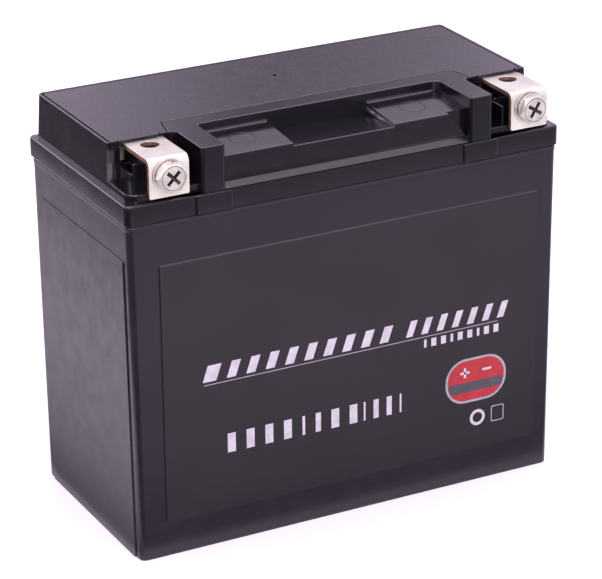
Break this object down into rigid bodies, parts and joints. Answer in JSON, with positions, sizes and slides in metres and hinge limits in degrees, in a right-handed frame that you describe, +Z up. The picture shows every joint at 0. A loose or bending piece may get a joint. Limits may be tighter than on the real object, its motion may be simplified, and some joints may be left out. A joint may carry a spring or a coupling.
{
  "type": "motorcycle battery",
  "caption": "Upright rectangular motorcycle battery with bolt terminals at the front corners, a hold-down pocket between them and a lift-off cap strip over the cells.",
  "frame": {"origin": "on the floor, under the middle of the overall width and depth, bolt heads included", "axes": "+X along the label from the negative to the positive terminal, +Y from the label to the back wall, +Z up"},
  "size_m": [0.176, 0.091, 0.155],
  "materials": {
    "case_plastic": "satin black injection-moulded polypropylene",
    "cover_plastic": "satin black injection-moulded polypropylene",
    "cap_plastic": "satin black polypropylene, finely grained",
    "label_film": "dark matt printed film",
    "plated_metal": "bright tin plating with a fine grain",
    "bolt_steel": "bright zinc plating",
    "lead": "dull cast lead alloy",
    "lead_paste": "brown lead dioxide paste, dry and dull",
    "spongy_lead": "grey spongy lead, dull",
    "glass_mat": "white felted glass-fibre mat",
    "rubber": "black moulded rubber",
    "porous_disc": "off-white sintered plastic"
  },
  "bodies": {
    "case": {"container": "case_plastic", "cover": "cover_plastic", "front_label": "label_film", "negative_terminal": "plated_metal", "negative_nut": "bolt_steel", "negative_post": "lead", "negative_post_seal": "rubber", "positive_terminal": "plated_metal", "positive_nut": "bolt_steel", "positive_post": "lead", "positive_post_seal": "rubber", "negative_plates_1": "spongy_lead", "positive_plates_1": "lead_paste", "separator_1": "glass_mat", "negative_plates_2": "spongy_lead", "positive_plates_2": "lead_paste", "separator_2": "glass_mat", "negative_plates_3": "spongy_lead", "positive_plates_3": "lead_paste", "separator_3": "glass_mat", "negative_plates_4": "spongy_lead", "positive_plates_4": "lead_paste", "separator_4": "glass_mat", "negative_plates_5": "spongy_lead", "positive_plates_5": "lead_paste", "separator_5": "glass_mat", "negative_plates_6": "spongy_lead", "positive_plates_6": "lead_paste", "separator_6": "glass_mat", "intercell_connector_1": "lead", "intercell_connector_2": "lead", "intercell_connector_3": "lead", "intercell_connector_4": "lead", "intercell_connector_5": "lead"},
    "cap": {"cap_strip": "cap_plastic", "flame_arrestor": "porous_disc"},
    "valve": {"safety_valve": "rubber"},
    "negative_washers": {"negative_lock_washer": "bolt_steel", "negative_flat_washer": "bolt_steel"},
    "negative_screw": {"negative_bolt": "bolt_steel"},
    "positive_washers": {"positive_lock_washer": "bolt_steel", "positive_flat_washer": "bolt_steel"},
    "positive_screw": {"positive_bolt": "bolt_steel"}
  },
  "joints": [
    {"name": "cap_strip_lift", "type": "slide", "parent": "case", "child": "cap", "axis": [0, 0, 1], "range_m": [0, 0.03]},
    {"name": "valve_lift", "type": "slide", "parent": "case", "child": "valve", "axis": [0, 0, 1], "range_m": [0, 0.0008], "stiffness_N_per_m": 400},
    {"name": "negative_bolt_travel", "type": "slide", "parent": "case", "child": "negative_washers", "axis": [0, -1, 0], "range_m": [0, 0.012]},
    {"name": "negative_bolt_turn", "type": "hinge", "parent": "negative_washers", "child": "negative_screw", "pos_m": [-0.0716, -0.044, 0.1474], "axis": [0, -1, 0], "range_deg": [0, 4330]},
    {"name": "positive_bolt_travel", "type": "slide", "parent": "case", "child": "positive_washers", "axis": [0, -1, 0], "range_m": [0, 0.012]},
    {"name": "positive_bolt_turn", "type": "hinge", "parent": "positive_washers", "child": "positive_screw", "pos_m": [0.0744, -0.044, 0.1475], "axis": [0, -1, 0], "range_deg": [0, 4330]}
  ],
  "couplings": [
    {"joint": "negative_bolt_turn", "follows": "negative_bolt_travel", "rad_per_m": 6283.2},
    {"joint": "positive_bolt_turn", "follows": "positive_bolt_travel", "rad_per_m": 6283.2}
  ]
}
